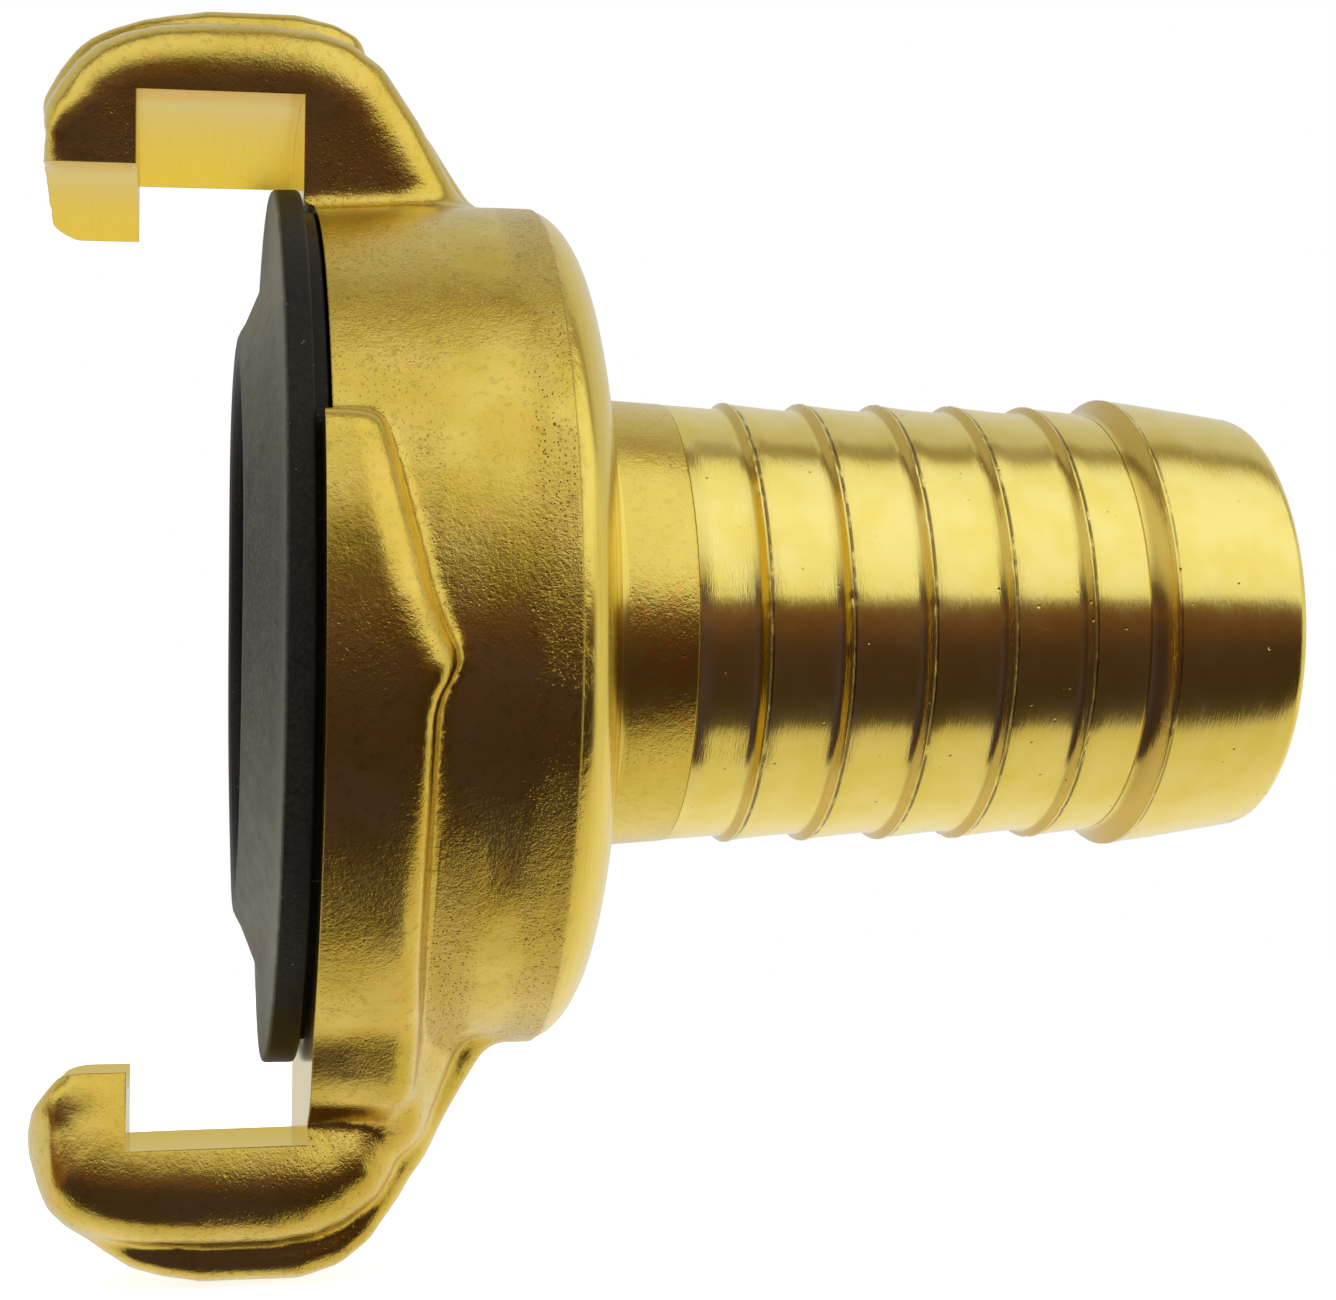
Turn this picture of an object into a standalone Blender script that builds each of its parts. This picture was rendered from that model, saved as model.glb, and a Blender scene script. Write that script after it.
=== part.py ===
"""Twist-claw quick coupling with a hose tail (40 mm claw spacing, 19 mm hose).

Frame: metres. The common axis of the coupling is X, +Z is up.
The origin lies on that axis at the middle of the coupling's length, which is
a hair in front of the seam between head and tail.
The claws reach toward -X, the front; the hose tail reaches toward +X, the back.
One claw stands straight up (+Z), the other straight down.

The pieces:
  profile_seal    rubber ring with a raised lip, snapped into the head
  retaining_ring  C-shaped ring in a groove of the tail's spigot
  thrust_washer   bearing washer between that ring and the head's inner floor
  claw_head       forged head: two hooked claws, two cam ramps and the neck
  o_ring          seal of the swivel, in a groove of the spigot
  hose_tail       turned tail with its spigot, five ribs and an end barb
The tail turns freely in the head about X.

Sizes are in millimetres. _R is a radius from the axis and _X an axial place
counted from the head's front face; the whole is moved to the origin last.
Outlines are lists of (x, radius).
"""
import math

import bmesh
import bpy
from mathutils import Vector

MM = 0.001
SEGMENTS = 60              # facets round the axis, the same on every turned piece
MERGE_DISTANCE = 1e-7      # metres
SHARP_DEG = 30.0           # edges steeper than this stay sharp
GAP = 0.1                  # room left between pieces that rest on each other

# ---- claw head -------------------------------------------------------------
FACE_X = 0.0               # front face
HEAD_R = 18.5              # outer radius of the drum
FACE_R = 18.3              # the drum is a little smaller at its front edge
BACK_X = 11.6              # back face
BACK_ROUND_X = 2.5         # rounding of the back edge, along the axis
BACK_ROUND_R = 4.1         # and across it
BACK_ROUND_STEPS = 8
COVE_X, COVE_R = 1.35, 1.3  # hollow between back face and neck, along and across
COVE_STEPS = 4
NECK_R = 10.05             # neck behind the head
NECK_END_R = 9.88
NECK_END_X = 15.65
NECK_BORE_R = 8.75         # the spigot turns in this bore
CHAMBER_R = 11.8           # room for the washer and the retaining ring
CHAMBER_FLOOR_X = 8.2
SEAL_BORE_R = 14.85        # mouth that holds the seal
UNDERCUT_R = 16.1          # groove behind the mouth, for the seal's bead
UNDERCUT_FRONT_X, UNDERCUT_BACK_X = 2.3, 4.9
ALLOWANCE = 0.6            # metal left on the front face until it is faced off
ROUGH_FACE_X = FACE_X - ALLOWANCE

# ---- claws -----------------------------------------------------------------
CLAW_SPACING = 40.0        # between the two hooks' inner faces
HOOK_TIP_R = CLAW_SPACING / 2
SLOT_FLOOR_R = 23.2        # floor of the slot behind the hook
HOOK_BACK_X = -7.65        # bearing face of the hook
ROOT_FACE_X = -0.45        # the slot's rear wall stands a little proud of the front face
ROOT_STEP_R = 18.38        # from this radius outward, clear of the seal
CLAW_R = 27.75             # outside of the claw
CLAW_HALF_DEG = 17.3       # the claw's sides are radial planes
# outer contour of a claw on its middle plane: (x, radius)
CLAW_CONTOUR = [
    (-11.20, 19.7), (-11.70, 20.3), (-11.90, 21.4), (-11.76, 22.8), (-11.32, 24.1),
    (-10.45, 25.55), (-9.35, 26.65), (-8.0, 27.35), (-6.2, CLAW_R),
    (-0.5, CLAW_R), (0.8, 27.5), (2.0, 26.85), (3.1, 25.7),
    (4.1, 24.2), (5.95, 21.3), (7.55, 18.8), (8.25, 17.65)]
CLAW_NOSE_X = min(x for x, _ in CLAW_CONTOUR)
# how far the contour sinks from the middle rib to the claw's side: (degrees, depth)
CLAW_CROWN = [
    (0.0, 0.0), (4.5, 0.05), (7.5, 0.25), (9.0, 1.0), (10.5, 1.5), (12.8, 1.75),
    (14.6, 2.05), (16.2, 2.6), (CLAW_HALF_DEG, 3.4)]
# share of that depth at the contour's first points; the nose is rounded less than the rest
NOSE_SHARES = (0.12, 0.15, 0.2, 0.36)
CLAW_ROOT_R = 17.3         # where claws and ramps end inside the head's wall

# ---- cam ramps -------------------------------------------------------------
RAMP_R = 20.95
# (degrees round the axis from the middle of the claw it runs into, back x, outer radius)
RAMP_STATIONS = [
    (107.5, 1.55, 18.2), (105.6, 1.75, 19.3), (103.6, 1.9, 20.3), (101.8, 2.05, RAMP_R),
    (99.0, 2.3, RAMP_R), (94.0, 2.75, RAMP_R), (88.0, 3.3, RAMP_R), (83.5, 3.85, RAMP_R),
    (80.6, 4.35, RAMP_R), (79.0, 4.4, RAMP_R), (77.4, 4.2, RAMP_R), (75.6, 3.85, RAMP_R),
    (73.5, 3.68, RAMP_R), (66.0, 3.62, RAMP_R), (57.0, 3.6, RAMP_R), (48.0, 3.62, RAMP_R),
    (39.0, 3.7, RAMP_R), (30.0, 3.9, RAMP_R), (21.0, 4.1, RAMP_R), (9.0, 4.2, RAMP_R)]

# ---- profile seal ----------------------------------------------------------
SEAL_R = 19.07             # rim
SEAL_FRONT_X = -1.88       # flat front annulus
SEAL_BACK_X = -0.70        # back of the rim
SEAL_LIP_X = -3.25         # crest of the raised lip
SEAL_INNER_R = 11.6
SEAL_PLUG_R = SEAL_BORE_R - GAP
SEAL_BEAD_R = UNDERCUT_R - 0.25
SEAL_COLLAR_R = FACE_R - 0.15       # between the rim and the front face
SEAL_END_X = UNDERCUT_BACK_X - 0.2

# ---- hose tail -------------------------------------------------------------
SPIGOT_R = NECK_BORE_R - 0.07       # running clearance in the neck bore
SPIGOT_FRONT_X = 5.6
SPIGOT_CHAMFER = 0.3
SHOULDER_X = NECK_END_X + GAP
TAIL_START_R = 9.87
VALLEY_R = 9.69
RIB_R = 10.0
RIB_X = 18.72              # crest of the first rib
RIB_PITCH = 3.58
RIB_COUNT = 5
RIB_FOOT = 0.42            # from a crest's middle forward to the rib's foot
RIB_HALF_CREST = 0.08
BARB_R = 10.35             # larger barb at the end
BARB_X = 36.71
BARB_HALF_CREST = 0.15
TAIL_END_X = 43.05
TAIL_END_R = 9.5
SPIGOT_BORE_R = 6.75
TAIL_BORE_R = 7.4
BORE_TAPER_X = (15.5, 18.0)         # the bore widens from spigot to tail between these
CLIP_GROOVE = (6.2, 7.1, 8.05)      # front x, back x, floor radius
O_RING_GROOVE = (11.2, 12.5, 7.75)

# ---- small pieces ----------------------------------------------------------
WASHER_FRONT_X, WASHER_BACK_X = 7.15, CHAMBER_FLOOR_X - GAP
WASHER_INNER_R, WASHER_OUTER_R = 8.85, 11.6
WASHER_CHAMFER = 0.08
O_RING_X = (O_RING_GROOVE[0] + O_RING_GROOVE[1]) / 2
O_RING_MID_R, O_RING_TUBE_R = 8.25, 0.45
O_RING_POINTS = 12
CLIP_SIDE_PLAY = 0.06               # to each wall of its groove
CLIP_FRONT_X = CLIP_GROOVE[0] + CLIP_SIDE_PLAY
CLIP_BACK_X = CLIP_GROOVE[1] - CLIP_SIDE_PLAY
CLIP_INNER_R = CLIP_GROOVE[2] + 0.07
CLIP_OUTER_R = 10.1
CLIP_STEPS = 52
CLIP_GAP_DEG = 14.0                 # half the opening of the C
CLIP_EAR_R = 11.0                   # the eared ends reach further out
CLIP_EAR_DEG = 22.0
EYE_R = 0.55
EYE_MID_R = (CLIP_INNER_R + CLIP_EAR_R) / 2 + 0.1
EYE_FROM_END_DEG = 6.5
EYE_CUTTER_LENGTH = 4.0
EYE_SEGMENTS = 12

# the frame's origin is the middle of the whole length, claw nose to hose end
ORIGIN_X = 0.5 * (CLAW_NOSE_X + TAIL_END_X)


# ---- scene and helpers -----------------------------------------------------
def clear_scene():
    for obj in list(bpy.data.objects):
        bpy.data.objects.remove(obj, do_unlink=True)
    for coll in list(bpy.data.collections):
        bpy.data.collections.remove(coll)


def new_collection(name):
    coll = bpy.data.collections.new(name)
    bpy.context.scene.collection.children.link(coll)
    return coll


def material(name, colour, metallic, roughness):
    mat = bpy.data.materials.new(name)
    mat.use_nodes = True
    bsdf = next(node for node in mat.node_tree.nodes if node.type == "BSDF_PRINCIPLED")
    bsdf.inputs["Base Color"].default_value = (*colour, 1.0)
    bsdf.inputs["Metallic"].default_value = metallic
    bsdf.inputs["Roughness"].default_value = roughness
    mat.diffuse_color = (*colour, 1.0)
    return mat


def new_object(name, mesh, coll):
    obj = bpy.data.objects.new(name, mesh)
    coll.objects.link(obj)
    return obj


def finished(obj, coll, mat):
    """Replace an object by the clean, shaded mesh its modifiers make, in world space."""
    bpy.context.view_layer.update()
    depsgraph = bpy.context.evaluated_depsgraph_get()
    mesh = bpy.data.meshes.new_from_object(obj.evaluated_get(depsgraph))
    mesh.transform(obj.matrix_world)
    name = obj.name
    bpy.data.objects.remove(obj, do_unlink=True)

    bm = bmesh.new()
    bm.from_mesh(mesh)
    bmesh.ops.remove_doubles(bm, verts=bm.verts, dist=MERGE_DISTANCE)
    bmesh.ops.dissolve_degenerate(bm, edges=bm.edges, dist=MERGE_DISTANCE)
    bmesh.ops.recalc_face_normals(bm, faces=bm.faces)
    bm.to_mesh(mesh)
    bm.free()
    mesh.shade_smooth()
    mesh.set_sharp_from_angle(angle=math.radians(SHARP_DEG))
    mesh.materials.clear()                           # slots may come from boolean cutters
    mesh.materials.append(mat)
    return new_object(name, mesh, coll)


def turned(name, outline, coll, mat):
    """A closed outline turned once round the X axis."""
    mesh = bpy.data.meshes.new(name)
    count = len(outline)
    mesh.from_pydata([(radius * MM, 0.0, x * MM) for x, radius in outline],
                     [(i, (i + 1) % count) for i in range(count)], [])
    obj = new_object(name, mesh, coll)
    obj.rotation_euler = (0.0, math.pi / 2, 0.0)     # the lathe's Z axis becomes X
    screw = obj.modifiers.new("turn", "SCREW")
    screw.axis = "Z"
    screw.angle = 2 * math.pi
    screw.steps = SEGMENTS
    screw.render_steps = SEGMENTS
    screw.use_merge_vertices = True
    screw.merge_threshold = 0.000001
    return finished(obj, coll, mat)


def loft(name, rings, coll):
    """A solid skinned over a row of closed outlines with equal point counts."""
    bm = bmesh.new()
    rows = [[bm.verts.new(point) for point in ring] for ring in rings]
    count = len(rows[0])
    for row, following in zip(rows, rows[1:]):
        for i in range(count):
            j = (i + 1) % count
            bm.faces.new((row[i], row[j], following[j], following[i]))
    bm.faces.new(rows[0])
    bm.faces.new(list(reversed(rows[-1])))
    bmesh.ops.remove_doubles(bm, verts=bm.verts, dist=MERGE_DISTANCE)
    bmesh.ops.recalc_face_normals(bm, faces=bm.faces)
    mesh = bpy.data.meshes.new(name)
    bm.to_mesh(mesh)
    bm.free()
    return new_object(name, mesh, coll)


def boolean(target, cutter, operation, guides):
    """Boolean modifier; the cutter is kept as a hidden guide."""
    mod = target.modifiers.new(operation.lower() + "_" + cutter.name, "BOOLEAN")
    mod.operation = operation
    mod.solver = "EXACT"
    mod.object = cutter
    cutter.hide_render = True
    cutter.display_type = "WIRE"
    for coll in list(cutter.users_collection):
        coll.objects.unlink(cutter)
    guides.objects.link(cutter)


def polar(x, radius, deg):
    """Point at axial position x, deg round the axis (0 = -Y, 90 = +Z)."""
    angle = math.radians(deg)
    return Vector((x * MM, -radius * math.cos(angle) * MM, radius * math.sin(angle) * MM))


def polar_ring(outline, deg):
    return [polar(x, radius, deg) for x, radius in outline]


# ---- claw head -------------------------------------------------------------
def head_outline():
    points = [(ROUGH_FACE_X, FACE_R - 0.16), (FACE_X + 0.15, FACE_R), (4.0, HEAD_R)]
    for i in range(BACK_ROUND_STEPS + 1):
        angle = math.radians(90.0 * i / BACK_ROUND_STEPS)
        points.append((BACK_X - BACK_ROUND_X + BACK_ROUND_X * math.sin(angle),
                       HEAD_R - BACK_ROUND_R + BACK_ROUND_R * math.cos(angle)))
    points.append((BACK_X + 0.12, NECK_R + 1.45))
    for i in range(COVE_STEPS + 1):
        angle = math.radians(90.0 * i / COVE_STEPS)
        points.append((BACK_X + 0.2 + COVE_X * (1 - math.cos(angle)),
                       NECK_R + COVE_R * (1 - math.sin(angle))))
    return points + [
        (NECK_END_X - 0.1, NECK_END_R), (NECK_END_X, NECK_END_R - 0.1),
        (NECK_END_X, NECK_BORE_R), (CHAMBER_FLOOR_X, NECK_BORE_R),
        (CHAMBER_FLOOR_X, CHAMBER_R), (UNDERCUT_BACK_X, CHAMBER_R),
        (UNDERCUT_BACK_X, UNDERCUT_R), (UNDERCUT_FRONT_X, UNDERCUT_R),
        (UNDERCUT_FRONT_X, SEAL_BORE_R), (ROUGH_FACE_X, SEAL_BORE_R)]


def facing_outline():
    """What the lathe takes off: the front face, the claw's slot and the hook's tip."""
    inside = SEAL_BORE_R - 1.0
    front = CLAW_NOSE_X - 1.5
    return [(FACE_X, inside), (front, inside), (front, HOOK_TIP_R), (HOOK_BACK_X, HOOK_TIP_R),
            (HOOK_BACK_X, SLOT_FLOOR_R), (ROOT_FACE_X, SLOT_FLOOR_R),
            (ROOT_FACE_X, ROOT_STEP_R + 0.14), (FACE_X, ROOT_STEP_R)]


def claw_section(depth):
    """Outline of a claw on a radial plane where its contour has sunk by depth."""
    points = [(CLAW_CONTOUR[0][0] + 0.6, CLAW_ROOT_R)]
    count = len(CLAW_CONTOUR)
    for i, (x, radius) in enumerate(CLAW_CONTOUR):
        share = 1.0
        if i < len(NOSE_SHARES):                     # the nose sinks straight back
            share = NOSE_SHARES[i]
            normal_x, normal_r = 1.0, 0.0
        elif i >= count - 2:                         # the last two points go straight forward
            normal_x, normal_r = -1.0, 0.0
        else:                                        # square to the contour, into the metal
            share = min(1.0, 0.45 + 0.2 * (i - 3))
            before_x, before_r = CLAW_CONTOUR[i - 1]
            after_x, after_r = CLAW_CONTOUR[i + 1]
            run, rise = after_x - before_x, after_r - before_r
            length = math.hypot(run, rise)
            normal_x, normal_r = rise / length, -run / length
        points.append((x + normal_x * depth * share, radius + normal_r * depth * share))
    return points


def claw(name, middle_deg, coll):
    stations = [(-deg, depth) for deg, depth in reversed(CLAW_CROWN[1:])] + CLAW_CROWN
    rings = [polar_ring(claw_section(depth), middle_deg + deg) for deg, depth in stations]
    return loft(name, rings, coll)


def ramp(name, claw_deg, coll):
    rings = []
    for deg, back, radius in RAMP_STATIONS:
        # drop of the rounded back edge, less where the ramp is low
        edge = min(0.55, max(0.1, 0.35 * (radius - CLAW_ROOT_R)))
        outline = [(ROUGH_FACE_X, CLAW_ROOT_R), (ROUGH_FACE_X, radius),
                   (back - 1.05, radius), (back - 0.55, radius - 0.25 * edge),
                   (back - 0.2, radius - edge), (back, radius - 2.2 * edge),
                   (back + 0.25, CLAW_ROOT_R)]
        rings.append(polar_ring(outline, claw_deg + deg))
    return loft(name, rings, coll)


def claw_head(parts, guides):
    brass = material("forged_brass", colour=(0.72, 0.52, 0.20), metallic=1.0, roughness=0.34)
    head = turned("claw_head", head_outline(), parts, brass)
    for label, deg in (("upper", 90.0), ("lower", 270.0)):
        boolean(head, claw("guide_claw_" + label, deg, parts), "UNION", guides)
        boolean(head, ramp("guide_ramp_" + label, deg, parts), "UNION", guides)
    facing = turned("guide_facing", facing_outline(), parts, brass)
    boolean(head, facing, "DIFFERENCE", guides)
    finished(head, parts, brass)


# ---- pieces held in the head -----------------------------------------------
def profile_seal(parts):
    rubber = material("seal_rubber", colour=(0.028, 0.026, 0.025), metallic=0.0, roughness=0.62)
    outline = [
        # rim and collar
        (SEAL_FRONT_X, SEAL_R - 0.12), (SEAL_FRONT_X + 0.12, SEAL_R), (SEAL_BACK_X, SEAL_R),
        (SEAL_BACK_X, SEAL_COLLAR_R), (-GAP, SEAL_COLLAR_R), (-GAP, SEAL_PLUG_R),
        # plug and bead
        (UNDERCUT_FRONT_X + 0.05, SEAL_PLUG_R), (UNDERCUT_FRONT_X + 0.2, SEAL_BEAD_R),
        (4.3, SEAL_BEAD_R), (SEAL_END_X, SEAL_BEAD_R - 0.6),
        # bore
        (SEAL_END_X, SEAL_INNER_R + 0.5), (UNDERCUT_BACK_X - 0.6, SEAL_INNER_R),
        # raised lip, sloping out to the front annulus
        (SEAL_LIP_X + 0.3, SEAL_INNER_R), (SEAL_LIP_X + 0.05, SEAL_INNER_R + 0.25),
        (SEAL_LIP_X, SEAL_INNER_R + 0.7), (SEAL_LIP_X + 0.1, SEAL_INNER_R + 1.15),
        (SEAL_FRONT_X - 0.2, 15.0), (SEAL_FRONT_X, 15.5)]
    turned("profile_seal", outline, parts, rubber)


def thrust_washer(parts):
    polymer = material("washer_polymer", colour=(0.78, 0.77, 0.72), metallic=0.0, roughness=0.45)
    outline = [
        (WASHER_FRONT_X, WASHER_OUTER_R - WASHER_CHAMFER),
        (WASHER_FRONT_X + WASHER_CHAMFER, WASHER_OUTER_R),
        (WASHER_BACK_X - WASHER_CHAMFER, WASHER_OUTER_R),
        (WASHER_BACK_X, WASHER_OUTER_R - WASHER_CHAMFER),
        (WASHER_BACK_X, WASHER_INNER_R), (WASHER_FRONT_X, WASHER_INNER_R)]
    turned("thrust_washer", outline, parts, polymer)


# ---- pieces that turn with the tail ----------------------------------------
def tail_outline():
    points = [(SPIGOT_FRONT_X, SPIGOT_R - SPIGOT_CHAMFER),
              (SPIGOT_FRONT_X + SPIGOT_CHAMFER, SPIGOT_R)]
    for front, back, floor in (CLIP_GROOVE, O_RING_GROOVE):
        points += [(front, SPIGOT_R), (front, floor), (back, floor), (back, SPIGOT_R)]
    points += [(SHOULDER_X, SPIGOT_R), (SHOULDER_X, TAIL_START_R - 0.1),
               (SHOULDER_X + 0.1, TAIL_START_R)]
    for i in range(RIB_COUNT):
        crest = RIB_X + i * RIB_PITCH
        points += [(crest - RIB_FOOT, VALLEY_R), (crest - RIB_HALF_CREST, RIB_R),
                   (crest + RIB_HALF_CREST, RIB_R)]
    return points + [
        (BARB_X - 1.35, VALLEY_R - 0.05), (BARB_X - BARB_HALF_CREST, BARB_R),
        (BARB_X + BARB_HALF_CREST, BARB_R), (TAIL_END_X - 0.3, TAIL_END_R),
        (TAIL_END_X - 0.08, TAIL_END_R - 0.1), (TAIL_END_X, TAIL_END_R - 0.32),
        (TAIL_END_X, TAIL_BORE_R + 0.4), (TAIL_END_X - 0.4, TAIL_BORE_R),
        (BORE_TAPER_X[1], TAIL_BORE_R), (BORE_TAPER_X[0], SPIGOT_BORE_R),
        (SPIGOT_FRONT_X + SPIGOT_CHAMFER, SPIGOT_BORE_R),
        (SPIGOT_FRONT_X, SPIGOT_BORE_R + SPIGOT_CHAMFER)]


def hose_tail(parts):
    brass = material("turned_brass", colour=(0.80, 0.60, 0.26), metallic=1.0, roughness=0.22)
    return turned("hose_tail", tail_outline(), parts, brass)


def o_ring(parts):
    rubber = material("o_ring_rubber", colour=(0.015, 0.015, 0.015), metallic=0.0, roughness=0.5)
    angles = [2 * math.pi * i / O_RING_POINTS for i in range(O_RING_POINTS)]
    outline = [(O_RING_X + O_RING_TUBE_R * math.sin(angle),
                O_RING_MID_R + O_RING_TUBE_R * math.cos(angle)) for angle in angles]
    return turned("o_ring", outline, parts, rubber)


def retaining_ring(parts, guides):
    """C-shaped flat ring, open at the top, whose two ends widen into ears with an eye each."""
    steel = material("ring_steel", colour=(0.55, 0.55, 0.57), metallic=1.0, roughness=0.3)
    rings = []
    start, stop = CLIP_GAP_DEG, 360.0 - CLIP_GAP_DEG
    for i in range(CLIP_STEPS + 1):
        deg = start + (stop - start) * i / CLIP_STEPS
        from_end = min(deg - start, stop - deg)
        outer = CLIP_OUTER_R
        if from_end < CLIP_EAR_DEG:
            blend = 0.5 + 0.5 * math.cos(math.pi * from_end / CLIP_EAR_DEG)
            outer += (CLIP_EAR_R - CLIP_OUTER_R) * blend
        outline = [(CLIP_FRONT_X, CLIP_INNER_R), (CLIP_FRONT_X, outer),
                   (CLIP_BACK_X, outer), (CLIP_BACK_X, CLIP_INNER_R)]
        rings.append(polar_ring(outline, 90.0 + deg))
    clip = loft("retaining_ring", rings, parts)
    for label, side in (("a", -1), ("b", 1)):
        bpy.ops.mesh.primitive_cylinder_add(
            vertices=EYE_SEGMENTS, radius=EYE_R * MM, depth=EYE_CUTTER_LENGTH * MM,
            rotation=(0.0, math.pi / 2, 0.0))
        eye = bpy.context.object
        eye.name = "guide_eye_" + label
        eye.location = polar((CLIP_FRONT_X + CLIP_BACK_X) / 2, EYE_MID_R,
                             90.0 + side * (CLIP_GAP_DEG + EYE_FROM_END_DEG))
        boolean(clip, eye, "DIFFERENCE", guides)
    return finished(clip, parts, steel)


# ---- assembly --------------------------------------------------------------
def main():
    clear_scene()
    parts = new_collection("twist_claw_coupling")
    guides = new_collection("guides")

    claw_head(parts, guides)
    profile_seal(parts)
    thrust_washer(parts)

    # the pieces that turn with the tail hang on an empty on the swivel's axis
    swivel = new_object("swivel_axis", None, parts)
    swivel.location = (NECK_END_X * MM, 0.0, 0.0)
    swivel.empty_display_size = 0.02
    turning = (hose_tail(parts), o_ring(parts), retaining_ring(parts, guides))
    bpy.context.view_layer.update()
    for obj in turning:
        obj.data.transform(swivel.matrix_world.inverted())
        obj.parent = swivel

    # from the front face to the middle of the length
    for obj in list(parts.objects) + list(guides.objects):
        if obj.parent is None:
            obj.location.x -= ORIGIN_X * MM
    bpy.context.view_layer.update()


main()
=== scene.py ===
"""Looks for the twist-claw hose coupling: forged head, turned tail, seal, O-ring, washer, clip.

The coupling lies along X: claws toward -X, hose tail toward +X, +Z up, camera on the -Y side.
Lengths are in millimetres with x counted from the head's front face; to_object moves them by
OX to the frame's origin. Outlines are lists of (x, radius). Angles round the axis run from
-Y (0 degrees) through +Z (90). The head is grown as a signed distance field, like a forging,
and the lathe cuts are then taken off it as booleans.
"""
import itertools
import math

import bmesh
import bpy
import numpy as np
import openvdb
from mathutils import Matrix, Vector


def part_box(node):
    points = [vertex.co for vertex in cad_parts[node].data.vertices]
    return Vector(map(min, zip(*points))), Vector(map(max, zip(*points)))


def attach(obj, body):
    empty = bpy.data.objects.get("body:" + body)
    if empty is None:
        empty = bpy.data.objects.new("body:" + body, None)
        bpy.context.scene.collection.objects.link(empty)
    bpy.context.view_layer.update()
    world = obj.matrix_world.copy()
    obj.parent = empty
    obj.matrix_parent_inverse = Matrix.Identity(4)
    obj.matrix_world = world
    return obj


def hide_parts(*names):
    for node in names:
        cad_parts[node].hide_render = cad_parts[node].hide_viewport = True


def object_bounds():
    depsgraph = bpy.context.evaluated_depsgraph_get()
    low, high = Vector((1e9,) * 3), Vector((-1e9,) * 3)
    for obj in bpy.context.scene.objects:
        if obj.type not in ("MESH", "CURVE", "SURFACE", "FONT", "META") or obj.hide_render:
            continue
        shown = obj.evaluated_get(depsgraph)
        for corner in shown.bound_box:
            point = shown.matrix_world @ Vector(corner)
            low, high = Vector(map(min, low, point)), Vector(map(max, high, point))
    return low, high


MM = 0.001
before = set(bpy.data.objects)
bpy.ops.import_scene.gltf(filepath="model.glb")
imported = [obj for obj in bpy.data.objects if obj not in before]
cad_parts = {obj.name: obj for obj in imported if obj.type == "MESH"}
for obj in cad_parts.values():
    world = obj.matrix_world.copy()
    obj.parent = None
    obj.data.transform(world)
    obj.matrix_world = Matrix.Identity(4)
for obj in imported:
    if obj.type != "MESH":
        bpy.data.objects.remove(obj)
cad_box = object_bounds()

NECK_END = 15.65                                  # rear end of the CAD head's neck
OX = NECK_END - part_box("claw_head")[1].x / MM

# head
DRUM_R, DRUM_FRONT_R = 18.5, 18.28
CLAW_DEG = 17.3                                   # half width of a claw
HOOK_TIP_R, SLOT_R, HOOK_BACK_X = 20.0, 23.2, -7.65
ROOT_X, STEP_R = -0.45, 18.38
RAMP_R = 20.95
RAMP_START = 106.2                                # degrees from its claw
BACK_EDGE_X, BACK_EDGE_R = 9.4, 18.47
NECK_FACE = 15.738

# tail
SPIGOT_R, GROOVE_R = 8.68, 8.05
SHOULDER_X, COLLAR_R = 15.75, 9.87
VALLEY_R, RIB_R = 9.69, 10.0
RIB_COUNT, FIRST_RIB_X, RIB_PITCH = 5, 18.72, 3.58
BARB_X = 36.71
TAIL_END, TAIL_BORE_R = 43.05, 7.4

# steps round the axis
LARGE_SEGMENTS, SMALL_SEGMENTS = 288, 192


# ---------------------------------------------------------------- outlines
def round_corners(points, radii, steps=5):
    """Round a closed outline's corners: radii is one number or one per corner."""
    count = len(points)
    if not hasattr(radii, "__len__"):
        radii = [radii] * count
    rounded = []
    for i in range(count):
        corner = np.array(points[i], float)
        if radii[i] <= 0:
            rounded.append(tuple(corner))
            continue
        before = np.array(points[i - 1], float) - corner
        after = np.array(points[(i + 1) % count], float) - corner
        before_length, after_length = np.linalg.norm(before), np.linalg.norm(after)
        before, after = before / before_length, after / after_length
        angle = math.acos(float(np.clip(before @ after, -1, 1)))
        if angle > math.radians(174):             # nearly straight: nothing to round
            rounded.append(tuple(corner))
            continue
        trim = min(radii[i] / math.tan(angle / 2), 0.45 * before_length, 0.45 * after_length)
        radius = trim * math.tan(angle / 2)
        middle = before + after
        centre = corner + middle / np.linalg.norm(middle) * (radius / math.sin(angle / 2))
        start, end = corner + before * trim - centre, corner + after * trim - centre
        first = math.atan2(start[1], start[0])
        last = math.atan2(end[1], end[0])
        sweep = (last - first + math.pi) % (2 * math.pi) - math.pi
        for k in range(steps + 1):
            turn = first + sweep * k / steps
            rounded.append((centre[0] + radius * math.cos(turn),
                            centre[1] + radius * math.sin(turn)))
    return rounded


def densify(points, step):
    """Split the sides of a closed outline so that none is longer than step."""
    dense = []
    for i, a in enumerate(points):
        b = points[(i + 1) % len(points)]
        pieces = max(1, int(math.ceil(math.dist(a, b) / step)))
        for j in range(pieces):
            t = j / pieces
            dense.append((a[0] + (b[0] - a[0]) * t, a[1] + (b[1] - a[1]) * t))
    return dense


def signed_area(points):
    p = np.array(points)
    q = np.roll(p, -1, 0)
    return 0.5 * float((p[:, 0] * q[:, 1] - q[:, 0] * p[:, 1]).sum())


# ---------------------------------------------------------------- meshes
def shade(obj, degrees):
    obj.data.shade_smooth()
    obj.data.set_sharp_from_angle(angle=math.radians(degrees))


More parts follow.
